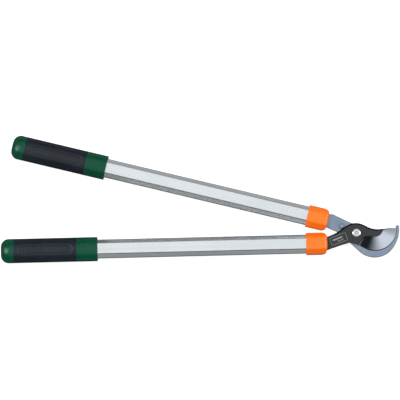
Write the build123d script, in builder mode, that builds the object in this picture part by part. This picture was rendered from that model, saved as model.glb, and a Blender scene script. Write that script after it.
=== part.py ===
"""Bypass loppers with long aluminium handles, lying flat and closed.

Row frame, in millimetres: the origin is on the pivot axis at the surface the loppers lie on, +X runs
from the pivot towards the cutting end along the handle that carries the cutting blade, +Z is up.
"""

import os
from math import cos, hypot, radians, sin, sqrt

from build123d import *

# ---------------------------------------------------------------- driving dimensions
HANDLE_ANGLE = 14.85  # between the two handles with the blades closed
CUTTER_AXIS_Y = -17.0  # handle axis to pivot, cutting-blade side
HOOK_AXIS_Y = 10.0  # handle axis to pivot, hook side, in that handle's own frame
HOOK_FITTING_SHIFT = -1.8  # the hook side's collar and tube end sit further back from the pivot
MID_Z = 14.0  # height of both handle axes

TUBE_WIDTH = 33.0
TUBE_THICKNESS = 21.0
TUBE_CORNER = 7.2  # 45 degree corner facets of the extrusion
TUBE_WALL = 1.6
TUBE_EDGE_RADIUS = 3.2
TUBE_FRONT_X = -58.0
TUBE_REAR_X = -612.0

COLLAR_REAR_X = -89.0
COLLAR_FRONT_X = -51.5
COLLAR_WALL = 3.0
COLLAR_FACET_RADIUS = 6.0  # softens the corner facets
COLLAR_NOSE_ROLL = 5.0  # seen from the side
COLLAR_NOSE_CORNER = (12.0, 8.0)  # seen from above: length along the side, width along the nose
COLLAR_NOSE_BULGE = 0.8

GRIP_REAR_X = -625.0
GRIP_FRONT_X = -455.2
GRIP_WIDTH = 42.8
GRIP_THICKNESS = 28.0
GRIP_END_RADIUS = 13.5  # corners of the domed end, seen from above
GRIP_DOME_LENGTH = 20.0
DOME_STEPS = 8
SLEEVE_REAR_X = -602.5
SLEEVE_FRONT_X = -492.2
SLEEVE_WALL = 1.7

BLADE_THICKNESS = 4.0
HOOK_THICKNESS = 4.6
BLADE_GAP = 0.2
BLADE_Z = MID_Z + BLADE_GAP / 2  # underside of the cutting blade
HOOK_Z = MID_Z - BLADE_GAP / 2 - HOOK_THICKNESS  # underside of the hook blade
HOOK_TOP = HOOK_Z + HOOK_THICKNESS
STUD_TOP_Z = BLADE_Z + BLADE_THICKNESS - 0.4
HOOK_EDGE_BREAK = 0.5
CUTTER_TANG = (0.0, 23.6)  # centre against the handle's axis, and width
HOOK_TANG = (0.3, 23.6)
TANG_REAR_X = -112.0
RIVET_XS = (-68.0, -81.0)
RIVET_RADIUS = 2.5
RIVET_HEAD_RADIUS = 4.2
RIVET_HEAD_HEIGHT = 0.9

EDGE_CENTRE = (32.6, 6.8)  # centre of the round cutting edge
EDGE_RADIUS = 38.8
BEVEL_WIDTH = 24.4
MICRO_BEVEL_WIDTH = 1.3
MICRO_BEVEL_HEIGHT = 0.75
EDGE_LAND = 0.1
BLADE_OVERLAP = 2.0  # how far the cutting edge passes the hook's inner edge when closed

SHANK_RADIUS = 4.95  # pivot bolt shank, running in the bush
FIT = 0.05  # radial clearance of the running fits
SEAT = 0.02  # gap between pieces that are pressed or bonded together
BUSH_OUTER_RADIUS = 6.6
THREAD_RADIUS = 4.0
NECK_HALF_WIDTH = 4.0  # flats that key the bolt into the hook
BOLT_HEAD_RADIUS = 7.75
BOLT_HEAD_HEIGHT = 3.6
HEAD_RIM_HEIGHT = 1.7
HEAD_CROWN_RADIUS = 5.4
HEX_SOCKET_FLATS = 6.0
HEX_SOCKET_DEPTH = 2.4
BUSH_PROUD = 0.05
FLAT_WASHER_RADIUS = 9.0
FLAT_WASHER_THICKNESS = 1.6
SPRING_WASHER_RADIUS = 8.0
SPRING_WASHER_HEIGHT = 1.1
SPRING_WASHER_THICKNESS = 0.7
NUT_ACROSS_FLATS = 13.0
NUT_BOTTOM_Z = 0.5
NUT_COLLAR_RADIUS = 6.1
NUT_COLLAR_HEIGHT = 1.8
NUT_RING_RADIUS = 5.4
GLIDE_WASHER_RADIUS = 12.0
GLIDE_WASHER_THICKNESS = 0.6
GLIDE_RECESS = 0.5
STUD_CENTRE = (-25.5, 13.0)
STUD_RADIUS = 4.0
STUD_SHANK_RADIUS = 3.3
STUD_FOOT_HEIGHT = 0.8
STUD_GROOVE_WIDTH = 1.9
STUD_GROOVE_DEPTH = 1.2

os.makedirs("parts", exist_ok=True)


def keep(builder, name):
    """Labels a finished piece and writes its STEP file."""
    builder.part.label = name
    export_step(builder.part, f"parts/{name}.step")


# ---------------------------------------------------------------- frames
class Handle:
    """One handle's own frame: its x runs along the handle, from the grip towards the pivot."""

    def __init__(self, prefix, angle, axis_y, shift, tang, tang_z, tang_thickness):
        self.prefix = prefix
        self.tube_front = TUBE_FRONT_X + shift
        self.collar_rear = COLLAR_REAR_X + shift
        self.collar_front = COLLAR_FRONT_X + shift
        self.tang_end = COLLAR_FRONT_X + shift + 0.2
        self.rivets = [(x + shift, 0) for x in RIVET_XS]
        self.flat = Plane.XY.rotated((0, 0, angle))
        self.axis_y = axis_y
        self.tang_centre, self.tang_width = tang
        self.tang_z = tang_z
        self.tang_thickness = tang_thickness
        self.tang_mid = tang_z + tang_thickness / 2 - MID_Z

    def section(self, x):
        """The plane across the handle at x: its x axis is the width, its y axis is up."""
        origin = self.flat.from_local_coords(Vector(x, self.axis_y, MID_Z))
        return Plane(origin=origin, x_dir=self.flat.y_dir, z_dir=self.flat.x_dir)

    def level(self, z):
        """The plane at height z with its origin on the handle's axis line, abreast of the pivot."""
        origin = self.flat.from_local_coords(Vector(0, self.axis_y, z))
        return Plane(origin=origin, x_dir=self.flat.x_dir, z_dir=(0, 0, 1))

    def side(self):
        """The upright plane through the handle's axis: its x axis runs along the handle, its y up."""
        origin = self.flat.from_local_coords(Vector(0, self.axis_y, MID_Z))
        return Plane(origin=origin, x_dir=self.flat.x_dir, z_dir=-self.flat.y_dir)

    def point(self, x, y):
        """A point of the handle's frame, measured from the pivot, in row coordinates."""
        found = self.flat.from_local_coords(Vector(x, y, 0))
        return (found.X, found.Y)


CUTTER = Handle("cutter", 0, CUTTER_AXIS_Y, 0, CUTTER_TANG, BLADE_Z, BLADE_THICKNESS)
HOOK = Handle("hook", -HANDLE_ANGLE, HOOK_AXIS_Y, HOOK_FITTING_SHIFT, HOOK_TANG, HOOK_Z, HOOK_THICKNESS)


# ---------------------------------------------------------------- handle parts
def octagon(grow=0.0, edge_radius=TUBE_EDGE_RADIUS):
    """The tube's outer section moved outwards by grow, in the current sketch."""
    corner = TUBE_CORNER + grow * (2 - sqrt(2))
    shape = Rectangle(TUBE_WIDTH + 2 * grow, TUBE_THICKNESS + 2 * grow)
    cut = chamfer(shape.vertices(), corner)
    if edge_radius > 0:
        fillet(cut.vertices(), edge_radius)


def make_tube(handle):
    with BuildPart() as tube:
        with BuildSketch(handle.section(TUBE_REAR_X)):
            octagon()
        extrude(amount=handle.tube_front - TUBE_REAR_X)
        with BuildSketch(handle.section(TUBE_REAR_X)):
            octagon(-TUBE_WALL, TUBE_EDGE_RADIUS / 2)
        extrude(amount=handle.tube_front - TUBE_REAR_X, mode=Mode.SUBTRACT)
        with BuildSketch(handle.level(0)):
            with Locations(handle.rivets):
                Circle(RIVET_RADIUS + SEAT)
        extrude(amount=2 * MID_Z, mode=Mode.SUBTRACT)
    keep(tube, f"{handle.prefix}_tube")


def make_collar(handle):
    """The moulded ferrule: closed round the tang at its nose, open over the tube end behind."""
    rear_x, front_x = handle.collar_rear, handle.collar_front
    length = front_x - rear_x
    width = TUBE_WIDTH + 2 * COLLAR_WALL
    thickness = TUBE_THICKNESS + 2 * COLLAR_WALL
    nose_flat = 2.0
    with BuildPart() as collar:
        with BuildSketch(handle.section(rear_x)):
            octagon(COLLAR_WALL, COLLAR_FACET_RADIUS)
        extrude(amount=length)
        # seen from above the nose bulges forward a little between two full corners
        half = width / 2
        corner_x = front_x - COLLAR_NOSE_CORNER[0]
        corner_y = half - COLLAR_NOSE_CORNER[1]
        nose_x = front_x - COLLAR_NOSE_BULGE
        with BuildSketch(handle.level(0)):
            with BuildLine():
                Polyline((corner_x, half), (rear_x, half), (rear_x, -half), (corner_x, -half))
                low, high = (nose_x, -corner_y), (nose_x, corner_y)
                Bezier((corner_x, -half), (nose_x - 4, -half), (nose_x - 1.2, 3.5 - half), low)
                ThreePointArc(low, (front_x, 0), high)
                Bezier(high, (nose_x - 1.2, half - 3.5), (nose_x - 4, half), (corner_x, half))
            make_face()
        extrude(amount=2 * MID_Z, mode=Mode.INTERSECT)
        with BuildSketch(handle.side()):
            with Locations((front_x - length / 2, 0)):
                outline = Rectangle(length, thickness)
            fillet(outline.vertices().sort_by(handle_axis(handle))[-2:], COLLAR_NOSE_ROLL)
        extrude(amount=width, both=True, mode=Mode.INTERSECT)
        rear = collar.faces().sort_by(handle_axis(handle))[0]
        fillet(rear.outer_wire().edges(), 0.8)
        pocket = handle.tube_front - rear_x + nose_flat / 4
        with BuildSketch(handle.section(rear_x)):
            octagon(0.1, TUBE_EDGE_RADIUS)
        extrude(amount=pocket, mode=Mode.SUBTRACT)
        # grooves inside the wide walls let the collar slide over the rivet heads
        with BuildSketch(handle.section(rear_x)):
            Rectangle(2 * RIVET_HEAD_RADIUS + 1, TUBE_THICKNESS + 2 * RIVET_HEAD_HEIGHT + 0.3)
        extrude(amount=pocket - nose_flat, mode=Mode.SUBTRACT)
        with BuildSketch(handle.section(rear_x)):
            with Locations((handle.tang_centre, handle.tang_mid)):
                Rectangle(handle.tang_width + 0.2, handle.tang_thickness + 0.2)
        extrude(amount=length, mode=Mode.SUBTRACT)
    keep(collar, f"{handle.prefix}_collar")


def handle_axis(handle):
    """The row-frame axis along the handle, for sorting faces and corners."""
    return Axis((0, 0, 0), handle.flat.x_dir)


def make_inserts(handle):
    """Two plastic filler blocks that clamp the tang inside the tube end."""
    length = handle.tube_front - TANG_REAR_X + 8
    tang_top = handle.tang_mid + handle.tang_thickness / 2
    reach = TUBE_THICKNESS
    for name, centre in (
        ("upper", tang_top + SEAT + reach / 2),
        ("lower", tang_top + SEAT - reach / 2),
    ):
        with BuildPart() as insert:
            with BuildSketch(handle.section(handle.tube_front)):
                octagon(-TUBE_WALL - SEAT, TUBE_EDGE_RADIUS / 2)
                with Locations((0, centre)):
                    Rectangle(TUBE_WIDTH, reach, mode=Mode.INTERSECT)
                if name == "lower":
                    slot = (handle.tang_width + 2 * SEAT, 2 * handle.tang_thickness + 2 * SEAT)
                    with Locations((handle.tang_centre, tang_top)):
                        Rectangle(*slot, mode=Mode.SUBTRACT)
            extrude(amount=-length)
            with BuildSketch(handle.level(0)):
                with Locations(handle.rivets):
                    Circle(RIVET_RADIUS + SEAT)
            extrude(amount=2 * MID_Z, mode=Mode.SUBTRACT)
        keep(insert, f"{handle.prefix}_tang_insert_{name}")


def make_rivets(handle):
    """Two rivets through tube, inserts and tang, with low heads under the collar."""
    half = TUBE_THICKNESS / 2
    with BuildPart() as rivets:
        with BuildSketch(handle.level(MID_Z - half)):
            with Locations(handle.rivets):
                Circle(RIVET_RADIUS)
        extrude(amount=TUBE_THICKNESS)
        for level, direction in ((MID_Z + half, 1), (MID_Z - half, -1)):
            with BuildSketch(handle.level(level)):
                with Locations(handle.rivets):
                    Circle(RIVET_HEAD_RADIUS)
            extrude(amount=direction * RIVET_HEAD_HEIGHT)
        rims = rivets.edges().filter_by(GeomType.CIRCLE).group_by(Axis.Z)
        chamfer(rims[0] + rims[-1], 0.35)
    keep(rivets, f"{handle.prefix}_tang_rivets")


def dome(reach, length):
    """Height of a quarter circle of this length, at reach from its end, from 0 to 1."""
    return sqrt(1 - (1 - min(reach / length, 1)) ** 2)


def grip_section(shrink=0.0):
    """The grip's oval section, pulled in by shrink, in the current sketch."""
    Ellipse(GRIP_WIDTH / 2 - shrink, GRIP_THICKNESS / 2 - shrink)


def make_grip(handle):
    """The hard grip shell with its domed end, and the soft sleeve moulded into its waist."""
    with BuildPart() as core:
        # the domed end: ovals that grow quickly in width and more slowly in depth
        for i in range(DOME_STEPS + 1):
            reach = GRIP_DOME_LENGTH * (1 - cos(radians(90 * i / DOME_STEPS)))
            with BuildSketch(handle.section(GRIP_REAR_X + reach)):
                Ellipse(
                    GRIP_WIDTH / 2 - GRIP_END_RADIUS * (1 - dome(reach, GRIP_END_RADIUS)),
                    GRIP_THICKNESS / 2 * (0.3 + 0.7 * dome(reach, GRIP_DOME_LENGTH)),
                )
        loft()
        with BuildSketch(handle.section(GRIP_REAR_X + GRIP_DOME_LENGTH)):
            grip_section()
        extrude(amount=GRIP_FRONT_X - GRIP_REAR_X - GRIP_DOME_LENGTH)
        front = core.faces().sort_by(handle_axis(handle))[-1]
        fillet(front.outer_wire().edges(), 1.0)
        with BuildSketch(handle.section(SLEEVE_REAR_X)):
            grip_section(-5)
            Ellipse(GRIP_WIDTH / 2 - SLEEVE_WALL, GRIP_THICKNESS / 2 - SLEEVE_WALL, mode=Mode.SUBTRACT)
        extrude(amount=SLEEVE_FRONT_X - SLEEVE_REAR_X, mode=Mode.SUBTRACT)
        with BuildSketch(handle.section(TUBE_REAR_X - 0.5)):
            octagon(0.1, TUBE_EDGE_RADIUS)
        extrude(amount=GRIP_FRONT_X - TUBE_REAR_X + 1, mode=Mode.SUBTRACT)
    keep(core, f"{handle.prefix}_grip_core")

    with BuildPart() as sleeve:
        with BuildSketch(handle.section(SLEEVE_REAR_X + SEAT)):
            grip_section()
            Ellipse(
                GRIP_WIDTH / 2 - SLEEVE_WALL + SEAT,
                GRIP_THICKNESS / 2 - SLEEVE_WALL + SEAT,
                mode=Mode.SUBTRACT,
            )
        extrude(amount=SLEEVE_FRONT_X - SLEEVE_REAR_X - 2 * SEAT)
    keep(sleeve, f"{handle.prefix}_grip_sleeve")


for handle in (CUTTER, HOOK):
    make_tube(handle)
    make_collar(handle)
    make_inserts(handle)
    make_rivets(handle)
    make_grip(handle)

BLADE_TOP = BLADE_Z + BLADE_THICKNESS
HEEL_SLOPE = 28.3  # the straight end of the cutting edge, against the handle axis
HEEL_LENGTH = 15.5
TIP_ANGLE = -0.6  # where the round edge ends, seen from its centre
BACK_CHAMFER_WIDTH = 2.6
BACK_CHAMFER_DEPTH = 1.5
SHOULDER_DRAFT = 55.0
SHOULDER_CORNER = 9.0
BOSS_RADIUS = 16.0
HOOK_INNER_RADIUS = EDGE_RADIUS - BLADE_OVERLAP
HOOK_TIP = (72.7, 9.6)
HOOK_TIP_RADIUS = 3.2
BADGE_CENTRE = (-31.6, -9.9)
BADGE_ANGLE = 19.5
BADGE_LENGTH = 30.4
BADGE_WIDTH = 14.4
BADGE_LINE = 0.8
BADGE_DEPTH = 0.35


def on_edge_circle(angle, radius=EDGE_RADIUS):
    """A point at this angle on a circle about the cutting edge's centre."""
    turn = radians(angle)
    return (EDGE_CENTRE[0] + radius * cos(turn), EDGE_CENTRE[1] + radius * sin(turn))


def on_hook_circle(angle):
    """A point at this angle on the hook's inner edge."""
    return on_edge_circle(angle, HOOK_INNER_RADIUS)


def on_boss(angle):
    """A point at this angle on the rim of the hook's round boss."""
    return (BOSS_RADIUS * cos(radians(angle)), BOSS_RADIUS * sin(radians(angle)))


HEEL_ANGLE = -90 - HEEL_SLOPE
heel_start = on_edge_circle(HEEL_ANGLE)
heel_direction = (-cos(radians(HEEL_SLOPE)), sin(radians(HEEL_SLOPE)))
heel_end = (
    heel_start[0] + HEEL_LENGTH * heel_direction[0],
    heel_start[1] + HEEL_LENGTH * heel_direction[1],
)
tip = on_edge_circle(TIP_ANGLE)
tip_back = (tip[0] - 0.9, tip[1] + 0.9)
half_tang = CUTTER.tang_width / 2


# ---------------------------------------------------------------- cutting blade
def grind_profile():
    """What the grinding wheel removes, across the edge: x from the edge circle's centre, y up."""
    inner = EDGE_RADIUS - BEVEL_WIDTH
    outer = EDGE_RADIUS + 6
    Polygon(
        (inner, BLADE_THICKNESS),
        (EDGE_RADIUS - MICRO_BEVEL_WIDTH, MICRO_BEVEL_HEIGHT),
        (EDGE_RADIUS, EDGE_LAND),
        (outer, EDGE_LAND),
        (outer, BLADE_THICKNESS + 1),
        (inner, BLADE_THICKNESS + 1),
        align=None,
    )


edge_origin = (EDGE_CENTRE[0], EDGE_CENTRE[1], BLADE_Z)
with BuildPart() as grind:
    with BuildSketch(Plane(origin=edge_origin, x_dir=(1, 0, 0), z_dir=(0, -1, 0))):
        grind_profile()
    revolve(axis=Axis((EDGE_CENTRE[0], EDGE_CENTRE[1], 0), (0, 0, 1)))
    # past the heel the grind runs on straight
    heel_x = (cos(radians(HEEL_ANGLE)), sin(radians(HEEL_ANGLE)), 0)
    heel_z = (-heel_direction[0], -heel_direction[1], 0)
    with BuildSketch(Plane(origin=edge_origin, x_dir=heel_x, z_dir=heel_z)):
        grind_profile()
    extrude(amount=-24)
    # it stops at a sloped shoulder in front of the pivot
    with BuildSketch(Plane.XY.offset(BLADE_TOP + 1)):
        with BuildLine():
            FilletPolyline(
                (-3.4, -23.1),
                (11.3, -4.4),
                (29.5, -4.4),
                (29.5, 30),
                (90, 30),
                (90, -60),
                (-3.4, -60),
                radius=SHOULDER_CORNER,
                close=True,
            )
        make_face()
    extrude(amount=-BLADE_THICKNESS - 2, taper=SHOULDER_DRAFT, mode=Mode.INTERSECT)

with BuildPart() as cutting_blade:
    with BuildSketch(Plane.XY.offset(BLADE_Z)):
        with BuildLine():
            rear_top = (TANG_REAR_X, CUTTER_AXIS_Y + half_tang)
            front_top = (CUTTER.tang_end, CUTTER_AXIS_Y + half_tang)
            rear_bottom = (TANG_REAR_X, CUTTER_AXIS_Y - half_tang)
            front_bottom = (CUTTER.tang_end, CUTTER_AXIS_Y - half_tang)
            waist = (-12.2, -16.9)
            Line(rear_top, front_top)
            Spline(
                front_top,
                (-42, -1.9),
                (-33.5, 2.4),
                (-20, 11.6),
                (-7, 17.1),
                (6.5, 16.8),
                (24.8, 8.2),
                (39.4, 5.9),
                (52.9, 7.2),
                tip_back,
                tangents=((1, 0.3), (1, -0.06)),
            )
            Line(tip_back, tip)
            CenterArc(EDGE_CENTRE, EDGE_RADIUS, TIP_ANGLE, HEEL_ANGLE - TIP_ANGLE)
            Line(heel_start, heel_end)
            Spline(heel_end, (-6, -17.9), waist, tangents=(heel_direction, (-1, -0.05)))
            Spline(
                waist,
                (-16.5, -17.8),
                (-25.4, -20.2),
                (-34.3, -23.1),
                front_bottom,
                tangents=((-1, -0.05), (-1, -0.42)),
            )
            Line(front_bottom, rear_bottom)
            Line(rear_bottom, rear_top)
        make_face()
    extrude(amount=BLADE_THICKNESS)
    # a wide chamfer along the back of the blade
    top_face = cutting_blade.faces().filter_by(Axis.Z).sort_by(Axis.Z)[-1]
    back_edges = [e for e in top_face.edges() if e.length > 120 and e.bounding_box().size.Y < 30]
    chamfer(back_edges, BACK_CHAMFER_WIDTH, BACK_CHAMFER_DEPTH, reference=top_face)
    # blunt wedge ground along the back near the tip
    with BuildSketch(Plane(origin=(47.6, 7.5, BLADE_TOP), x_dir=(0, 1, 0), z_dir=(1, 0, 0))):
        Polygon((0.5, -3.9), (0.5, 0.5), (-3.9, 0.5), align=None)
    extrude(amount=30, mode=Mode.SUBTRACT)
    add(grind.part, mode=Mode.SUBTRACT)
    # bore for the bush
    with BuildSketch(Plane.XY.offset(BLADE_Z)):
        Circle(BUSH_OUTER_RADIUS + SEAT)
    extrude(amount=BLADE_THICKNESS, mode=Mode.SUBTRACT)
    # rivet holes in the tang
    with BuildSketch(CUTTER.level(BLADE_Z)):
        with Locations(CUTTER.rivets):
            Circle(RIVET_RADIUS + SEAT)
    extrude(amount=BLADE_THICKNESS, mode=Mode.SUBTRACT)
    # plain engraved panel on the shank
    with BuildSketch(Plane.XY.offset(BLADE_TOP)):
        with Locations(Location(BADGE_CENTRE, BADGE_ANGLE)):
            RectangleRounded(BADGE_LENGTH, BADGE_WIDTH, 2.6)
            RectangleRounded(
                BADGE_LENGTH - 2 * BADGE_LINE,
                BADGE_WIDTH - 2 * BADGE_LINE,
                1.8,
                mode=Mode.SUBTRACT,
            )
            with Locations((-1.5, 1.4)):
                SlotOverall(19, 2.8)
            with Locations((2.5, -3.2)):
                SlotOverall(12, 1.3)
    extrude(amount=-BADGE_DEPTH, mode=Mode.SUBTRACT)
keep(cutting_blade, "cutting_blade")

with BuildPart() as blade_bush:
    with BuildSketch(Plane.XY.offset(BLADE_Z - BUSH_PROUD)):
        Circle(BUSH_OUTER_RADIUS)
        Circle(SHANK_RADIUS + FIT, mode=Mode.SUBTRACT)
    extrude(amount=BLADE_THICKNESS + 2 * BUSH_PROUD)
keep(blade_bush, "blade_bush")


# ---------------------------------------------------------------- hook blade
tang_low = HOOK_AXIS_Y + HOOK.tang_centre - HOOK.tang_width / 2
tang_high = HOOK_AXIS_Y + HOOK.tang_centre + HOOK.tang_width / 2
ARM_SHOULDER = (5.0, 1.2)  # in front of the collar the arm's back steps out from the tang
back_end = (-10.2, 19.3)  # where the straight back of the arm runs out under the blade

with BuildPart() as hook_blade:
    with BuildSketch(Plane.XY.offset(HOOK_Z)):
        with BuildLine():
            hook_rear_top = HOOK.point(TANG_REAR_X, tang_high)
            hook_front_top = HOOK.point(HOOK.tang_end, tang_high)
            hook_front_low = HOOK.point(HOOK.tang_end, tang_low)
            hook_rear_low = HOOK.point(TANG_REAR_X, tang_low)
            Line(hook_rear_top, hook_front_top)
            hook_shoulder = HOOK.point(HOOK.tang_end + ARM_SHOULDER[0], tang_high + ARM_SHOULDER[1])
            FilletPolyline(hook_front_top, hook_shoulder, back_end, radius=8)
            Spline(back_end, on_boss(75), tangents=((0.9, -0.43), (0.97, -0.26)))
            ThreePointArc(on_boss(75), on_boss(10), on_boss(-55))
            throat = on_hook_circle(-133)
            Spline(on_boss(-55), (5.5, -16.6), throat, tangents=((-0.82, -0.57), (0.73, -0.68)))
            hook_inner_end = on_hook_circle(3.6)
            ThreePointArc(throat, on_hook_circle(-70), hook_inner_end)
            hook_tip = (HOOK_TIP[0] + HOOK_TIP_RADIUS, HOOK_TIP[1])
            ThreePointArc(hook_inner_end, (HOOK_TIP[0], HOOK_TIP[1] + HOOK_TIP_RADIUS), hook_tip)
            ThreePointArc(hook_tip, (70.7, -16.0), (59.2, -32.6))
            ThreePointArc((59.2, -32.6), (32.1, -43.3), (5, -32.5))
            Spline(
                (5, -32.5),
                (-2.5, -25.5),
                (-10.2, -17.6),
                (-22, -6),
                (-33.5, 3.3),
                (-42.2, 7.4),
                hook_front_low,
                tangents=((-0.72, 0.69), (-0.93, 0.37)),
            )
            Line(hook_front_low, hook_rear_low)
            Line(hook_rear_low, hook_rear_top)
        make_face()
    extrude(amount=HOOK_THICKNESS)
    # broken edges all round, on both faces
    broad_faces = hook_blade.faces().filter_by(Axis.Z)
    chamfer(broad_faces.edges(), HOOK_EDGE_BREAK)
    # keyed hole that stops the bolt turning in the hook
    with BuildSketch(Plane.XY.offset(HOOK_Z)):
        Circle(SHANK_RADIUS + SEAT)
        Rectangle(2 * NECK_HALF_WIDTH + 2 * SEAT, 4 * SHANK_RADIUS, mode=Mode.INTERSECT)
    extrude(amount=HOOK_THICKNESS, mode=Mode.SUBTRACT)
    # shallow seat for the glide washer
    with BuildSketch(Plane.XY.offset(HOOK_TOP)):
        Circle(GLIDE_WASHER_RADIUS + FIT)
    extrude(amount=-GLIDE_RECESS, mode=Mode.SUBTRACT)
    # hole and ring groove of the stop stud
    with BuildSketch(Plane.XY.offset(HOOK_Z)):
        with Locations(STUD_CENTRE):
            Circle(STUD_SHANK_RADIUS + SEAT)
    extrude(amount=HOOK_THICKNESS, mode=Mode.SUBTRACT)
    with BuildSketch(Plane.XY.offset(HOOK_TOP)):
        with Locations(STUD_CENTRE):
            Circle(STUD_RADIUS + STUD_GROOVE_WIDTH)
    extrude(amount=-STUD_GROOVE_DEPTH, mode=Mode.SUBTRACT)
    # rivet holes in the tang
    with BuildSketch(HOOK.level(HOOK_Z)):
        with Locations(HOOK.rivets):
            Circle(RIVET_RADIUS + SEAT)
    extrude(amount=HOOK_THICKNESS, mode=Mode.SUBTRACT)
keep(hook_blade, "hook_blade")

# the stud the cutting blade's shank closes against
groove_floor = HOOK_TOP - STUD_GROOVE_DEPTH
with BuildPart() as stop_stud:
    with BuildSketch(Plane.XY.offset(HOOK_Z - STUD_FOOT_HEIGHT - SEAT)):
        with Locations(STUD_CENTRE):
            Circle(STUD_RADIUS)
    extrude(amount=STUD_FOOT_HEIGHT)
    with BuildSketch(Plane.XY.offset(HOOK_Z - STUD_FOOT_HEIGHT - SEAT)):
        with Locations(STUD_CENTRE):
            Circle(STUD_SHANK_RADIUS)
    extrude(amount=HOOK_THICKNESS + STUD_FOOT_HEIGHT)
    with BuildSketch(Plane.XY.offset(groove_floor + SEAT)):
        with Locations(STUD_CENTRE):
            Circle(STUD_RADIUS)
    extrude(amount=STUD_TOP_Z - groove_floor - SEAT)
    stud_rims = stop_stud.edges().filter_by(GeomType.CIRCLE).group_by(Axis.Z)
    chamfer(stud_rims[-1], 0.7)
    chamfer(stud_rims[0], 0.4)
keep(stop_stud, "stop_stud")


# ---------------------------------------------------------------- pivot hardware
HEAD_Z = BLADE_TOP + 2 * BUSH_PROUD
RECESS_FLOOR_Z = HOOK_TOP - GLIDE_RECESS

with BuildPart() as pivot_bolt:
    with BuildSketch(Plane.XY):
        Circle(THREAD_RADIUS)
    extrude(amount=HOOK_Z)
    chamfer(pivot_bolt.edges().filter_by(GeomType.CIRCLE).group_by(Axis.Z)[0], 0.7)
    with BuildSketch(Plane.XY.offset(HOOK_Z)):
        Circle(SHANK_RADIUS)
        Rectangle(2 * NECK_HALF_WIDTH, 4 * SHANK_RADIUS, mode=Mode.INTERSECT)
    extrude(amount=RECESS_FLOOR_Z - HOOK_Z)
    with BuildSketch(Plane.XY.offset(RECESS_FLOOR_Z)):
        Circle(SHANK_RADIUS)
    extrude(amount=HEAD_Z - RECESS_FLOOR_Z)
    # low domed head with a hexagon socket
    with BuildSketch(Plane.XZ):
        with BuildLine():
            rim = (BOLT_HEAD_RADIUS, HEAD_Z + HEAD_RIM_HEIGHT)
            crown = (HEAD_CROWN_RADIUS, HEAD_Z + BOLT_HEAD_HEIGHT)
            Polyline((0, HEAD_Z + BOLT_HEAD_HEIGHT), (0, HEAD_Z), (BOLT_HEAD_RADIUS, HEAD_Z), rim)
            bulge = ((rim[0] + crown[0]) / 2 + 0.42, (rim[1] + crown[1]) / 2 + 0.5)
            ThreePointArc(rim, bulge, crown)
            Line(crown, (0, HEAD_Z + BOLT_HEAD_HEIGHT))
        make_face()
    revolve(axis=Axis.Z)
    with BuildSketch(Plane.XY.offset(HEAD_Z + BOLT_HEAD_HEIGHT)):
        RegularPolygon(HEX_SOCKET_FLATS / 2, 6, major_radius=False)
    extrude(amount=-HEX_SOCKET_DEPTH, mode=Mode.SUBTRACT)
keep(pivot_bolt, "pivot_bolt")

with BuildPart() as glide_washer:
    with BuildSketch(Plane.XY.offset(RECESS_FLOOR_Z)):
        Circle(GLIDE_WASHER_RADIUS)
        Circle(SHANK_RADIUS + 3 * FIT, mode=Mode.SUBTRACT)
    extrude(amount=GLIDE_WASHER_THICKNESS)
keep(glide_washer, "glide_washer")

with BuildPart() as flat_washer:
    with BuildSketch(Plane.XY.offset(HOOK_Z - FLAT_WASHER_THICKNESS)):
        Circle(FLAT_WASHER_RADIUS)
        Circle(THREAD_RADIUS + 0.2, mode=Mode.SUBTRACT)
    extrude(amount=FLAT_WASHER_THICKNESS)
    washer_rims = flat_washer.edges().filter_by(GeomType.CIRCLE)
    chamfer(washer_rims.group_by(SortBy.RADIUS)[-1], 0.25)
keep(flat_washer, "flat_washer")

# a coned spring washer, its small end under the flat washer
spring_top = HOOK_Z - FLAT_WASHER_THICKNESS
spring_low = spring_top - SPRING_WASHER_HEIGHT
with BuildPart() as spring_washer:
    with BuildSketch(Plane.XZ):
        Polygon(
            (THREAD_RADIUS + 0.2, spring_low),
            (SPRING_WASHER_RADIUS, spring_top - SPRING_WASHER_THICKNESS),
            (SPRING_WASHER_RADIUS, spring_top),
            (THREAD_RADIUS + 0.2, spring_low + SPRING_WASHER_THICKNESS),
            align=None,
        )
    revolve(axis=Axis.Z)
keep(spring_washer, "spring_washer")

# lock nut: hexagon with a round collar that holds the nylon ring
nut_top = spring_low
collar_top = NUT_BOTTOM_Z + NUT_COLLAR_HEIGHT
with BuildPart() as pivot_nut:
    with BuildSketch(Plane.XY.offset(collar_top)):
        RegularPolygon(NUT_ACROSS_FLATS / 2, 6, major_radius=False)
    extrude(amount=nut_top - collar_top)
    with BuildSketch(Plane.XZ):
        nut_corner = NUT_ACROSS_FLATS / sqrt(3)
        Polygon(
            (0, collar_top),
            (nut_corner - 1.2, collar_top),
            (nut_corner + 0.2, collar_top + 0.8),
            (nut_corner + 0.2, nut_top - 0.8),
            (nut_corner - 1.2, nut_top),
            (0, nut_top),
            align=None,
        )
    revolve(axis=Axis.Z, mode=Mode.INTERSECT)
    with BuildSketch(Plane.XY.offset(NUT_BOTTOM_Z)):
        Circle(NUT_COLLAR_RADIUS)
    extrude(amount=NUT_COLLAR_HEIGHT)
    chamfer(pivot_nut.edges().filter_by(GeomType.CIRCLE).group_by(Axis.Z)[0], 0.4)
    with BuildSketch(Plane.XY.offset(NUT_BOTTOM_Z)):
        Circle(THREAD_RADIUS + SEAT)
    extrude(amount=nut_top - NUT_BOTTOM_Z, mode=Mode.SUBTRACT)
    with BuildSketch(Plane.XY.offset(NUT_BOTTOM_Z)):
        Circle(NUT_RING_RADIUS + SEAT)
    extrude(amount=NUT_COLLAR_HEIGHT, mode=Mode.SUBTRACT)
keep(pivot_nut, "pivot_nut")

with BuildPart() as nut_ring:
    with BuildSketch(Plane.XY.offset(NUT_BOTTOM_Z + 0.25)):
        Circle(NUT_RING_RADIUS)
        Circle(THREAD_RADIUS + SEAT, mode=Mode.SUBTRACT)
    extrude(amount=NUT_COLLAR_HEIGHT - 0.25 - SEAT)
keep(nut_ring, "nut_ring")
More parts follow.
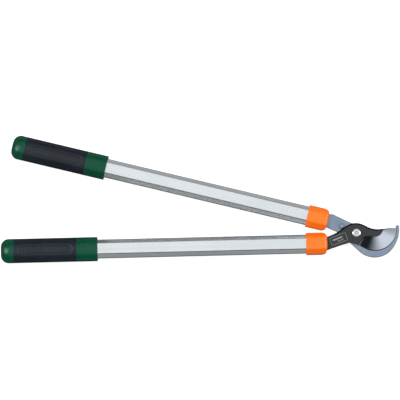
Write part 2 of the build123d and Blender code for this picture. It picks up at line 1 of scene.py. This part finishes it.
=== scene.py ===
import math

import bmesh
import bpy
from mathutils import Matrix, Vector


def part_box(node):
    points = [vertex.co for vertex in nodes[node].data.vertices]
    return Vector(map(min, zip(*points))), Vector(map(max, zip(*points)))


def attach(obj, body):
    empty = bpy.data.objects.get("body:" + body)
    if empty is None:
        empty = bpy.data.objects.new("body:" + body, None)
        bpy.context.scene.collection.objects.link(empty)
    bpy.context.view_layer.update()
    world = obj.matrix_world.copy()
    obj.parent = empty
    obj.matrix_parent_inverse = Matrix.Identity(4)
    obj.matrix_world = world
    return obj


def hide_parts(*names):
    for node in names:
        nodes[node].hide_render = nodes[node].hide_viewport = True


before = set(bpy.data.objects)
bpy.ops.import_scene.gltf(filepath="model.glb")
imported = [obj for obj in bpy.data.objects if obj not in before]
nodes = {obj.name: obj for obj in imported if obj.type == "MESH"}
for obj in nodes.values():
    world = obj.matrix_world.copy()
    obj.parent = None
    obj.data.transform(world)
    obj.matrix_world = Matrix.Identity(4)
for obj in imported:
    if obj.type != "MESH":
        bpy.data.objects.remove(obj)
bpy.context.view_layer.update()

MM = 0.001

# The CAD dimensions that the looks depend on, in metres and radians.
HANDLE_ANGLE = math.radians(-14.85)
EDGE_CENTRE = (32.6 * MM, 6.8 * MM)
SHOULDER_SLOPE = (0.785, 0.618)  # level part of the shoulder's outward direction: +x and -y
BLADE_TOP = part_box("cutting_blade")[1].z
BOLT_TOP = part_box("pivot_bolt")[1].z


# ------------------------------------------------------------------ node helpers
class Graph:
    """Builds a node tree with short calls."""

    def __init__(self, tree):
        self.tree = tree
        tree.nodes.clear()

    def add(self, kind, **settings):
        made = self.tree.nodes.new(kind)
        for name, value in settings.items():
            setattr(made, name, value)
        return made

    def join(self, source, target):
        self.tree.links.new(source, target)

    def feed(self, socket, value):
        """Links a socket or sets a constant."""
        if isinstance(value, bpy.types.NodeSocket):
            self.join(value, socket)
        else:
            socket.default_value = value

    def math(self, operation, a, b=0.0, c=0.0):
        made = self.add("ShaderNodeMath", operation=operation)
        self.feed(made.inputs[0], a)
        self.feed(made.inputs[1], b)
        self.feed(made.inputs[2], c)
        return made.outputs[0]

    def times(self, first, *others):
        for other in others:
            first = self.math("MULTIPLY", first, other)
        return first

    def plus(self, first, *others):
        for other in others:
            first = self.math("ADD", first, other)
        return first

    def minus(self, a, b):
        return self.math("SUBTRACT", a, b)

    def hypot(self, a, b):
        return self.math("SQRT", self.plus(self.times(a, a), self.times(b, b)))

    def step(self, value, low, high, to_low=0.0, to_high=1.0):
        """Goes smoothly from to_low to to_high as value goes from low to high."""
        made = self.add("ShaderNodeMapRange")
        made.interpolation_type = "SMOOTHSTEP"
        self.feed(made.inputs["Value"], value)
        self.feed(made.inputs["From Min"], low)
        self.feed(made.inputs["From Max"], high)
        self.feed(made.inputs["To Min"], to_low)
        self.feed(made.inputs["To Max"], to_high)
        return made.outputs[0]

    def spread(self, field, to_low=0.0, to_high=1.0):
        """Stretches the middle of a noise field, 0.3 to 0.7, over a range."""
        return self.step(field, 0.3, 0.7, to_low, to_high)

    def mix(self, factor, a, b):
        made = self.add("ShaderNodeMix", data_type="RGBA")
        self.feed(made.inputs["Factor"], factor)
        self.feed(made.inputs[6], a)
        self.feed(made.inputs[7], b)
        return made.outputs[2]

    def mix_values(self, factor, a, b):
        made = self.add("ShaderNodeMix", data_type="FLOAT")
        self.feed(made.inputs["Factor"], factor)
        self.feed(made.inputs[2], a)
        self.feed(made.inputs[3], b)
        return made.outputs[0]

    def split(self, vector):
        made = self.add("ShaderNodeSeparateXYZ")
        self.join(vector, made.inputs[0])
        return made.outputs

    def noise(self, vector, scale, detail=2.0, roughness=0.5, distortion=0.0):
        made = self.add("ShaderNodeTexNoise")
        self.join(vector, made.inputs["Vector"])
        made.inputs["Scale"].default_value = scale
        made.inputs["Detail"].default_value = detail
        made.inputs["Roughness"].default_value = roughness
        made.inputs["Distortion"].default_value = distortion
        return made.outputs[0]

    def place(self, vector, turn=0.0, scale=(1, 1, 1)):
        """Coordinates turned about z or stretched along the axes."""
        made = self.add("ShaderNodeMapping")
        self.join(vector, made.inputs["Vector"])
        made.inputs["Rotation"].default_value = (0, 0, turn)
        made.inputs["Scale"].default_value = scale
        return made.outputs[0]

    def bump(self, height, distance, strength, normal):
        made = self.add("ShaderNodeBump")
        self.join(height, made.inputs["Height"])
        made.inputs["Distance"].default_value = distance
        made.inputs["Strength"].default_value = strength
        self.join(normal, made.inputs["Normal"])
        return made.outputs[0]

    def soft_edges(self, radius):
        """Shading normal with the sharp edges rounded off."""
        made = self.add("ShaderNodeBevel", samples=4)
        made.inputs["Radius"].default_value = radius
        return made.outputs[0]

    def edge_mask(self, radius):
        """White along outer and inner edges, black on open faces."""
        soft = self.soft_edges(radius)
        flat = self.add("ShaderNodeNewGeometry").outputs["Normal"]
        dot = self.add("ShaderNodeVectorMath", operation="DOT_PRODUCT")
        self.join(soft, dot.inputs[0])
        self.join(flat, dot.inputs[1])
        return self.step(self.minus(1.0, dot.outputs["Value"]), 0.02, 0.25)

    def facing(self):
        """The true surface's outward direction in the piece's own axes, as x, y and z."""
        turned = self.add(
            "ShaderNodeVectorTransform", vector_type="NORMAL", convert_from="WORLD", convert_to="OBJECT"
        )
        self.join(self.add("ShaderNodeNewGeometry").outputs["True Normal"], turned.inputs[0])
        return self.split(turned.outputs[0])


def material(name):
    """A new material, its graph with object coordinates in graph.place_of, and its shader."""
    made = bpy.data.materials.new(name)
    made.use_nodes = True
    graph = Graph(made.node_tree)
    shader = graph.add("ShaderNodeBsdfPrincipled")
    output = graph.add("ShaderNodeOutputMaterial")
    graph.join(shader.outputs[0], output.inputs["Surface"])
    graph.place_of = graph.add("ShaderNodeTexCoord").outputs["Object"]
    return made, graph, shader


# ------------------------------------------------------------------ plain materials
def aluminium(name, turn):
    """Drawn and anodised tube: fine die lines along the length."""
    dark, pale = (0.62, 0.65, 0.675, 1), (0.665, 0.7, 0.725, 1)
    made, g, s = material(name)
    along = g.place(g.place_of, turn=-turn)
    lines = g.noise(g.place(along, scale=(1.5, 900, 900)), 1.0, 3, 0.6)
    broad = g.noise(g.place(along, scale=(2, 60, 60)), 1.0, 2, 0.5)
    clouds = g.noise(along, 9, 3, 0.55)
    tone = g.plus(g.times(lines, 0.5), g.times(broad, 0.5))
    g.feed(s.inputs["Base Color"], g.mix(g.spread(tone), dark, pale))
    s.inputs["Metallic"].default_value = 1.0
    rough = g.plus(g.step(lines, 0.25, 0.75, 0.22, 0.31), g.spread(clouds, -0.03, 0.04))
    g.feed(s.inputs["Roughness"], rough)
    g.feed(s.inputs["Normal"], g.bump(lines, 0.02 * MM, 0.5, g.soft_edges(0.4 * MM)))
    return made


def moulded(
    name, colour, deep, roughness, grain=0.03 * MM, grain_scale=1500, gloss=0.5, worn=None, tint=(1, 1, 1, 1)
):
    """Moulded plastic: spark-eroded grain, slight mottling and softened, rubbed edges."""
    made, g, s = material(name)
    clouds = g.noise(g.place_of, 22, 3, 0.6)
    base = g.mix(g.step(clouds, 0.35, 0.68), deep, colour)
    s.inputs["Specular IOR Level"].default_value = gloss
    s.inputs["Specular Tint"].default_value = tint
    if worn is not None:
        patchy = g.step(g.noise(g.place_of, 240, 3), 0.45, 0.7, 0.0, 0.55)
        base = g.mix(g.times(g.edge_mask(0.7 * MM), patchy), base, worn)
    g.feed(s.inputs["Base Color"], base)
    g.feed(s.inputs["Roughness"], g.spread(g.noise(g.place_of, 70, 3), roughness - 0.05, roughness + 0.07))
    grain_field = g.noise(g.place_of, grain_scale, 2, 0.5)
    g.feed(s.inputs["Normal"], g.bump(grain_field, grain, 0.8, g.soft_edges(0.6 * MM)))
    return made


# painted shade: the colour that darkens the inside of the bolt's socket
PAINTED_SHADE_COLOUR = (0.2, 0.2, 0.21, 1)
SOCKET_RADIUS = (3.6 * MM, 3.4 * MM)  # the mask comes up inwards
SOCKET_DEPTH = (0.1 * MM, 0.5 * MM)  # and downwards from the top of the head
SOCKET_SHADE = 0.35


def socket_painted_shade(g):
    """Painted shade that darkens the inside of the bolt's hexagon socket."""
    x, y, z = g.split(g.place_of)
    inside = g.step(g.hypot(x, y), *SOCKET_RADIUS)
    return g.times(inside, g.step(z, *(BOLT_TOP - depth for depth in SOCKET_DEPTH)), SOCKET_SHADE)


def metal(name, colour, dark, roughness, turn=0.0, lines=(250, 18, 250), worn=None, shade_mask=None):
    """Plated or ground metal with fine directional marks; the last argument takes the graph and gives a mask
    of painted shade.
    """
    made, g, s = material(name)
    marks = g.noise(g.place(g.place(g.place_of, turn=-turn), scale=lines), 4.0, 4, 0.6)
    clouds = g.noise(g.place_of, 60, 4, 0.6, 0.4)
    base = g.mix(g.step(clouds, 0.3, 0.72), dark, colour)
    if worn is not None:
        base = g.mix(g.times(g.edge_mask(0.6 * MM), 0.7), base, worn)
    # painted shade, where a mask for it is given
    if shade_mask is not None:
        base = g.mix(shade_mask(g), base, PAINTED_SHADE_COLOUR)
    g.feed(s.inputs["Base Color"], base)
    s.inputs["Metallic"].default_value = 1.0
    g.feed(s.inputs["Roughness"], g.spread(marks, roughness - 0.05, roughness + 0.08))
    g.feed(s.inputs["Normal"], g.bump(marks, 0.02 * MM, 0.5, g.soft_edges(0.4 * MM)))
    return made


# ------------------------------------------------------------------ blade material
# A mask comes up from the first limit of a pair to the second. In a limit on a facing, 1 is square on.
BEVEL_LEAN = (0.08, 0.12)  # facing away from the edge's centre; the bevel's is 0.14, for 8 degrees
BEVEL_RISE = (0.95, 0.97)  # facing up
BEVEL_RADIUS = (13.6 * MM, 14.2 * MM)  # from the edge's centre
WEDGE_LEAN = (0.6, 0.66)  # facing +y
WEDGE_RISE = (0.6, 0.65)
WEDGE_X = (47.4 * MM, 47.8 * MM)
CHAMFER_LEAN = (0.15, 0.25)  # facing +y
CHAMFER_RISE = (0.93, 0.9)
PANEL_DEPTHS = (0.22 * MM, 0.3 * MM)  # below the blade's top
PANEL_RISE = (0.95, 0.98)
PANEL_X = (-12.0 * MM, -12.5 * MM)
FOOT_LEAN = (0.4, 0.5)  # facing down the shoulder's slope
FOOT_DEPTHS = (1.0 * MM, 1.5 * MM)  # below the blade's top

COAT_COLOURS = (0.0038, 0.0052, 0.0072, 1), (0.0056, 0.0074, 0.0098, 1)
RUBBED_COAT = (0.05, 0.053, 0.058, 1)
# painted shade on the chamfer along the back
CHAMFER_PAINTED_SHADE = (0.0015, 0.0018, 0.0022, 1)
MATT_GLOSS_LOSS = 0.42
PANEL_METAL = (0.24, 0.245, 0.255, 1)
# painted highlight along the foot of the shoulder
SHOULDER_PAINTED_HIGHLIGHT = (0.085, 0.09, 0.095, 1)
STEEL_COLOURS = (0.5, 0.55, 0.63, 1), (0.58, 0.63, 0.72, 1)
# painted dark reflection on the ground bevel, round the edge's centre: near black at the heel, clearing
# further on, darker again at the tip
HEEL_PAINTED_REFLECTION = (0.011, 0.013, 0.017, 1)
HEEL_REFLECTION_FADES = (math.radians(-117), math.radians(-58))  # round the edge's centre
TIP_PAINTED_REFLECTION = (0.05, 0.06, 0.05, 1)
TIP_REFLECTION_DARKENS = (math.radians(-36), math.radians(-4))
RING_SCALE = (2600.0, 3.0)  # across the grinding marks, per metre, and along them, per radian


def below_top(g, height, depths):
    """White at more than so much below the blade's top."""
    return g.step(height, *(BLADE_TOP - depth for depth in depths))


def ground_mask(g, place, facing, reach, radius):
    """White on the bevel and on the tip wedge."""
    outward = g.math("DIVIDE", g.plus(g.times(facing[0], reach[0]), g.times(facing[1], reach[1])), radius)
    bevel = g.times(g.step(outward, *BEVEL_LEAN), g.step(facing[2], *BEVEL_RISE))
    bevel = g.times(bevel, g.step(radius, *BEVEL_RADIUS))
    wedge = g.times(g.step(facing[1], *WEDGE_LEAN), g.step(place[0], *WEDGE_X))
    wedge = g.times(wedge, g.step(facing[2], *WEDGE_RISE))
    return g.math("MAXIMUM", bevel, wedge)


def blade_coat(g, s, place, facing, bright, clouds):
    """Slightly cloudy coating, rubbed thin on the edges, with the places where it differs, among them a
    chamfer in painted shade and a painted highlight on the shoulder.
    """
    coat = g.mix(g.spread(clouds), *COAT_COLOURS)
    patchy = g.step(g.noise(g.place_of, 300, 3), 0.5, 0.75, 0.0, 0.35)
    coat = g.mix(g.times(g.edge_mask(0.5 * MM), patchy), coat, RUBBED_COAT)
    # painted shade: the chamfer along the back is painted near black and made less glossy
    dark_chamfer = g.times(g.step(facing[1], *CHAMFER_LEAN), g.step(facing[2], *CHAMFER_RISE), g.minus(1.0, bright))
    coat = g.mix(dark_chamfer, coat, CHAMFER_PAINTED_SHADE)
    g.feed(s.inputs["Specular IOR Level"], g.math("MULTIPLY_ADD", dark_chamfer, -MATT_GLOSS_LOSS, 0.5))
    # the engraved panel shows bare metal in its floor
    panel = g.times(below_top(g, place[2], PANEL_DEPTHS), g.step(facing[2], *PANEL_RISE))
    panel = g.times(panel, g.step(place[0], *PANEL_X))
    coat = g.mix(panel, coat, PANEL_METAL)
    # painted highlight: the sloped shoulder at the heel of the bevel is painted lighter grey along its foot
    down_slope = g.minus(g.times(facing[0], SHOULDER_SLOPE[0]), g.times(facing[1], SHOULDER_SLOPE[1]))
    shoulder_highlight = g.times(g.step(down_slope, *FOOT_LEAN), below_top(g, place[2], FOOT_DEPTHS))
    return g.mix(shoulder_highlight, coat, SHOULDER_PAINTED_HIGHLIGHT)


def steel_with_painted_reflection(g, rings, angle):
    """Ground steel with a painted dark reflection: near black at the heel, clearing further on, and painted
    duller again at the tip.
    """
    steel = g.mix(g.spread(rings), *STEEL_COLOURS)
    steel = g.mix(g.step(angle, *HEEL_REFLECTION_FADES), HEEL_PAINTED_REFLECTION, steel)
    return g.mix(g.step(angle, *TIP_REFLECTION_DARKENS, 0.0, 0.55), steel, TIP_PAINTED_REFLECTION)


def blade_material():
    """Dark non-stick coating, with the bevel and the tip wedge ground bright."""
    made, g, s = material("coated_blade")
    place, facing = g.split(g.place_of), g.facing()
    reach = [g.minus(place[i], EDGE_CENTRE[i]) for i in (0, 1)]
    radius, angle = g.hypot(*reach), g.math("ARCTAN2", reach[1], reach[0])
    bright = ground_mask(g, place, facing, reach, radius)

    clouds = g.noise(g.place_of, 45, 4, 0.6, 0.5)
    coat = blade_coat(g, s, place, facing, bright, clouds)
    # grinding marks run round the edge's centre
    polar = g.add("ShaderNodeCombineXYZ")
    g.join(g.times(radius, RING_SCALE[0]), polar.inputs[0])
    g.join(g.times(angle, RING_SCALE[1]), polar.inputs[1])
    rings = g.noise(polar.outputs[0], 1.0, 3, 0.6)
    # the ground steel carries a painted dark reflection at the heel and at the tip
    g.feed(s.inputs["Base Color"], g.mix(bright, coat, steel_with_painted_reflection(g, rings, angle)))
    g.feed(s.inputs["Metallic"], bright)
    rough = g.mix_values(bright, g.spread(clouds, 0.34, 0.42), g.spread(rings, 0.11, 0.17))
    g.feed(s.inputs["Roughness"], rough)
    peel = g.times(g.noise(g.place_of, 700, 3, 0.55), g.minus(1.0, bright))
    height = g.plus(peel, g.times(rings, g.times(bright, 0.25)))
    g.feed(s.inputs["Normal"], g.bump(height, 0.03 * MM, 0.7, g.soft_edges(0.3 * MM)))
    return made


# ------------------------------------------------------------------ materials on the CAD pieces
def assign(mat, *names):
    for name in names:
        for slot in nodes[name].material_slots:
            slot.material = mat


ORANGE = dict(
    colour=(1.0, 0.17, 0.001, 1),
    deep=(0.96, 0.155, 0.001, 1),
    worn=(1.0, 0.22, 0.02, 1),
    tint=(1, 0.9, 0.6, 1),
    roughness=0.34,
    gloss=0.75,
)
GREEN = dict(
    colour=(0.001, 0.06, 0.03, 1),
    deep=(0.001, 0.05, 0.024, 1),
    worn=(0.01, 0.09, 0.05, 1),
    tint=(0.62, 1, 0.88, 1),
    roughness=0.28,
    gloss=0.32,
)
RUBBER = dict(
    colour=(0.0075, 0.0135, 0.0225, 1),
    deep=(0.006, 0.009, 0.014, 1),
    roughness=0.4,
    grain=0.05 * MM,
    grain_scale=1100,
    gloss=0.27,
)
FILLER = dict(colour=(0.06, 0.06, 0.06, 1), deep=(0.045, 0.045, 0.045, 1), roughness=0.6)
NYLON = dict(colour=(0.06, 0.16, 0.42, 1), deep=(0.05, 0.13, 0.36, 1), roughness=0.4)
ACETAL = dict(colour=(0.75, 0.75, 0.72, 1), deep=(0.7, 0.7, 0.67, 1), roughness=0.4)

HOOK_STEEL = dict(
    colour=(0.228, 0.275, 0.352, 1),
    dark=(0.178, 0.234, 0.306, 1),
    worn=(0.36, 0.4, 0.46, 1),
    roughness=0.36,
    turn=HANDLE_ANGLE,
)
NICKEL = dict(
    colour=(0.7, 0.7, 0.71, 1),
    dark=(0.6, 0.6, 0.62, 1),
    roughness=0.16,
    lines=(300, 300, 300),
    # painted shade in the socket
    shade_mask=socket_painted_shade,
)
NUT_STEEL = dict(
    colour=(0.62, 0.63, 0.66, 1),
    dark=(0.5, 0.51, 0.54, 1),
    roughness=0.35,
    lines=(200, 200, 200),
)
SPRING_STEEL = dict(colour=(0.28, 0.28, 0.3, 1), dark=(0.2, 0.2, 0.22, 1), roughness=0.4)
BRONZE = dict(colour=(0.6, 0.42, 0.2, 1), dark=(0.5, 0.33, 0.15, 1), roughness=0.45)

assign(aluminium("aluminium_cutter", 0.0), "cutter_tube")
assign(aluminium("aluminium_hook", HANDLE_ANGLE), "hook_tube")
assign(moulded("orange_plastic", **ORANGE), "cutter_collar", "hook_collar")
assign(moulded("green_plastic", **GREEN), "cutter_grip_core", "hook_grip_core")
rubber = moulded("grip_rubber", **RUBBER)
assign(rubber, "cutter_grip_sleeve", "hook_grip_sleeve")
filler = moulded("filler_plastic", **FILLER)
assign(filler, "cutter_tang_insert_upper", "cutter_tang_insert_lower")
assign(filler, "hook_tang_insert_upper", "hook_tang_insert_lower")
assign(blade_material(), "cutting_blade")
assign(metal("hook_steel", **HOOK_STEEL), "hook_blade", "stop_stud")
assign(metal("nickel_plate", **NICKEL), "pivot_bolt")
assign(metal("nut_steel", **NUT_STEEL), "pivot_nut", "flat_washer", "cutter_tang_rivets", "hook_tang_rivets")
assign(metal("spring_steel", **SPRING_STEEL), "spring_washer")
assign(metal("bronze", **BRONZE), "blade_bush")
assign(moulded("nylon", **NYLON), "nut_ring")
assign(moulded("acetal", **ACETAL), "glide_washer")


# ------------------------------------------------------------------ grip sleeves
SLEEVE_STEPS = 218  # along the sleeve, between its rolled ends
SLEEVE_WALL = 1.6 * MM
ROLL_REACH = 0.8 * MM  # the rounding at each end: how far along it reaches
ROLL_DEPTH = 0.45 * MM  # and how far it sinks
ROLL_STATIONS = (0, 0.12 * MM, 0.35 * MM, ROLL_REACH)  # rings of points over the rounding
FINE_HALF_WIDTH = 11.0 * MM  # the part of the oval that carries the panel, with its wall
FINE_STEPS = 56  # across that part
SIDE_STEPS = 14  # round each side of the oval
GRIP_PANEL_HALF_WIDTH = 9.6 * MM
GRIP_PANEL_END_GAP = 6.5 * MM  # from the sleeve's end to the panel
GRIP_PANEL_DEPTH = 0.5 * MM
GRIP_PANEL_WALL = 0.9 * MM
PIP_PITCH = 4.4 * MM
PIP_ROW_PITCH = 0.866 * PIP_PITCH  # the pips stand in triangles
PIP_RADIUS = 1.45 * MM
PIP_CROWN = 0.25  # level part of the pip's radius
PIP_HEIGHT = 0.85  # of the panel's depth
PIP_MARGIN = 2.4 * MM  # a pip's centre lies at least this far inside the panel's outline
HOOK_AXIS_SHIFT = 27.0 * MM  # between the two handles' axes before the hook's handle is turned


def smooth(value, low, high):
    t = min(max((value - low) / (high - low), 0.0), 1.0)
    return t * t * (3 - 2 * t)


def sleeve_angles(half_width):
    """Angles round the oval: close together on the top and bottom panels, wider apart at the sides."""
    limit = math.acos(FINE_HALF_WIDTH / half_width)
    fine = math.pi - 2 * limit
    angles = []
    for start in (limit, math.pi + limit):
        angles += [start + fine * i / FINE_STEPS for i in range(FINE_STEPS)]
        angles += [start + fine + 2 * limit * i / SIDE_STEPS for i in range(SIDE_STEPS)]
    return angles


def panel_distance(along, across, length):
    """How far a place lies inside the panel's round-ended outline; negative outside it."""
    straight = length / 2 - GRIP_PANEL_END_GAP - GRIP_PANEL_HALF_WIDTH
    past = max(abs(along - length / 2) - straight, 0)
    return GRIP_PANEL_HALF_WIDTH - math.hypot(past, across)


def panel_drop(along, across, length):
    """How far the surface is sunk at a place: a shallow panel with small raised pips in it."""
    sunk = smooth(panel_distance(along, across, length), 0, GRIP_PANEL_WALL)
    row = round(across / PIP_ROW_PITCH)
    shift = PIP_PITCH / 2 if row % 2 else 0.0
    column = round((along - length / 2 - shift) / PIP_PITCH)
    centre = (length / 2 + column * PIP_PITCH + shift, row * PIP_ROW_PITCH)
    if panel_distance(*centre, length) < PIP_MARGIN:
        return GRIP_PANEL_DEPTH * sunk
    distance = math.hypot(along - centre[0], across - centre[1])
    raised = 1 - smooth(distance, PIP_RADIUS * PIP_CROWN, PIP_RADIUS)
    return GRIP_PANEL_DEPTH * (sunk - PIP_HEIGHT * raised)


def roll_drop(along, length):
    """How far the surface is sunk at the sleeve's rounded ends."""
    reach = min(along, length - along, ROLL_REACH) / ROLL_REACH
    return ROLL_DEPTH * (1 - math.sqrt(1 - (1 - reach) ** 2))


def sleeve_mesh(name):
    """A soft moulded sleeve with rolled ends and a pipped panel on each of its two broad sides."""
    low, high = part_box("cutter_grip_sleeve")
    length, a, b = high.x - low.x, (high.y - low.y) / 2, (high.z - low.z) / 2
    centre_y, centre_z = (high.y + low.y) / 2, (high.z + low.z) / 2
    angles = sleeve_angles(a)
    middle = length - 2 * ROLL_REACH
    stations = list(ROLL_STATIONS)
    stations += [ROLL_REACH + middle * i / SLEEVE_STEPS for i in range(1, SLEEVE_STEPS)]
    stations += [length - along for along in reversed(ROLL_STATIONS)]
    bm = bmesh.new()

    def ring(along, sink, panelled):
        points = []
        for t in angles:
            y, z = a * math.cos(t), b * math.sin(t)
            ny, nz = y / a**2, z / b**2
            size = math.hypot(ny, nz)
            drop = sink
            if panelled and abs(y) <= GRIP_PANEL_HALF_WIDTH:
                drop += panel_drop(along, y, length)
            place = (low.x + along, centre_y + y - drop * ny / size, centre_z + z - drop * nz / size)
            points.append(bm.verts.new(place))
        return points

    rings = [ring(along, roll_drop(along, length), True) for along in stations]
    rings += [ring(along, SLEEVE_WALL, False) for along in (length, length / 2, 0)]
    for first, second in zip(rings, rings[1:] + rings[:1]):
        for i in range(len(angles)):
            j = (i + 1) % len(angles)
            bm.faces.new((first[i], first[j], second[j], second[i]))
    bmesh.ops.recalc_face_normals(bm, faces=bm.faces)
    mesh = bpy.data.meshes.new(name)
    bm.to_mesh(mesh)
    bm.free()
    mesh.shade_smooth()
    return mesh


for side, body in (("cutter", "blade_arm"), ("hook", "hook_arm")):
    mesh = sleeve_mesh(f"{side}_soft_sleeve")
    if side == "hook":
        mesh.transform(Matrix.Rotation(HANDLE_ANGLE, 4, "Z") @ Matrix.Translation((0, HOOK_AXIS_SHIFT, 0)))
    piece = bpy.data.objects.new(f"{side}_soft_sleeve", mesh)
    bpy.context.scene.collection.objects.link(piece)
    mesh.materials.append(rubber)
    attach(piece, body)
    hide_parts(f"{side}_grip_sleeve")


# ------------------------------------------------------------------ floor
FLOOR_HALF = 4.0
FLOOR_Z = -0.4 * MM
FLOOR_GLOW = 0.85  # keeps the floor close to the white background, with a faint shadow on it

floor_mesh = bpy.data.meshes.new("floor")
corners = [(x * FLOOR_HALF, y * FLOOR_HALF, FLOOR_Z) for x, y in ((-1, -1), (1, -1), (1, 1), (-1, 1))]
floor_mesh.from_pydata(corners, [], [(0, 1, 2, 3)])
floor = bpy.data.objects.new("floor", floor_mesh)
bpy.context.scene.collection.objects.link(floor)
floor_material, _, floor_shader = material("pale_floor")
floor_shader.inputs["Base Color"].default_value = (0.4, 0.4, 0.4, 1)
floor_shader.inputs["Roughness"].default_value = 0.9
floor_shader.inputs["Specular IOR Level"].default_value = 0.0
floor_shader.inputs["Emission Color"].default_value = (1, 1, 1, 1)
floor_shader.inputs["Emission Strength"].default_value = FLOOR_GLOW
floor_mesh.materials.append(floor_material)
floor.visible_glossy = False
floor.visible_diffuse = False


# ------------------------------------------------------------------ light
# Levels are brightness by the direction that the light comes from. A height is the z of a direction: -1
# is straight below and 1 straight above. Each pair of limits is where one level gives way to the next.
DARK_LEVEL = 0.13  # from below
SIDE_LEVEL = 0.58  # round the horizon
BACK_EXTRA = 0.2  # added to it on the far side
GAP_LEVEL = 0.03  # between the horizon and the overhead box
TOP_LEVEL = 1.33  # the broad overhead box
SIDE_STARTS = (-0.32, -0.16)  # heights
SIDE_ENDS = (0.18, 0.38)
BACK_STARTS = (0.2, 0.9)  # the y of a direction
OVERHEAD = (5, 90, 22, 46)  # degrees: off the zenith, azimuth, full within and none past
LEFT_LAMP = (38, 172, 8, 17)
LEFT_LAMP_LEVEL = 12.0
RIGHT_LAMP = (46, 5, 12, 24)
RIGHT_LAMP_LEVEL = 6.3

world = bpy.data.worlds.new("studio")
bpy.context.scene.world = world
world.use_nodes = True
w = Graph(world.node_tree)
ray = w.add("ShaderNodeTexCoord").outputs["Generated"]


def patch(off_zenith, azimuth, inner, outer):
    """1 within inner degrees of a direction, fading to 0 at outer degrees."""
    a, e = math.radians(azimuth), math.radians(off_zenith)
    dot = w.add("ShaderNodeVectorMath", operation="DOT_PRODUCT")
    w.join(ray, dot.inputs[0])
    dot.inputs[1].default_value = (math.sin(e) * math.cos(a), math.sin(e) * math.sin(a), math.cos(e))
    return w.step(dot.outputs["Value"], math.cos(math.radians(outer)), math.cos(math.radians(inner)))


_, ray_y, height = w.split(ray)
sides = w.minus(
    w.step(height, *SIDE_STARTS, DARK_LEVEL, SIDE_LEVEL),
    w.step(height, *SIDE_ENDS, 0.0, SIDE_LEVEL - GAP_LEVEL),
)
band = w.times(w.step(height, *SIDE_STARTS), w.step(height, *reversed(SIDE_ENDS)))
level = w.plus(
    sides,
    w.times(band, w.step(ray_y, *BACK_STARTS, 0.0, BACK_EXTRA)),
    w.times(patch(*OVERHEAD), TOP_LEVEL - GAP_LEVEL),
    w.times(patch(*LEFT_LAMP), LEFT_LAMP_LEVEL),
    w.times(patch(*RIGHT_LAMP), RIGHT_LAMP_LEVEL),
)
# the studio lights the object, and the camera itself sees plain white behind it
lit = w.add("ShaderNodeBackground")
w.join(level, lit.inputs["Strength"])
seen = w.add("ShaderNodeBackground")
seen.inputs["Strength"].default_value = 1.0
chooser = w.add("ShaderNodeMixShader")
w.join(w.add("ShaderNodeLightPath").outputs["Is Camera Ray"], chooser.inputs[0])
w.join(lit.outputs[0], chooser.inputs[1])
w.join(seen.outputs[0], chooser.inputs[2])
w.join(chooser.outputs[0], w.add("ShaderNodeOutputWorld").inputs["Surface"])
bpy.context.scene.view_settings.view_transform = "Standard"


# ------------------------------------------------------------------ camera
AIM = Vector((-0.2733, 0.0656, 0.014))
SPAN = 0.704  # width of the view at the aim
ROLL = math.radians(1.39)
ELEVATION = math.radians(82.3)
DISTANCE = 6.0
SENSOR = 36  # mm, the film's width, which the lens is worked out for

camera = bpy.data.objects.new("camera", bpy.data.cameras.new("camera"))
bpy.context.scene.collection.objects.link(camera)
bpy.context.scene.camera = camera
camera.data.sensor_width = SENSOR
camera.data.lens = SENSOR * DISTANCE / SPAN
camera.data.clip_end = 50
right = Vector((math.cos(ROLL), -math.sin(ROLL), 0))
towards_top = Vector((math.sin(ROLL), math.cos(ROLL), 0))
back = -towards_top * math.cos(ELEVATION) + Vector((0, 0, math.sin(ELEVATION)))
turned = Matrix((right, back.cross(right), back)).transposed().to_4x4()
camera.matrix_world = Matrix.Translation(AIM + back * DISTANCE) @ turned
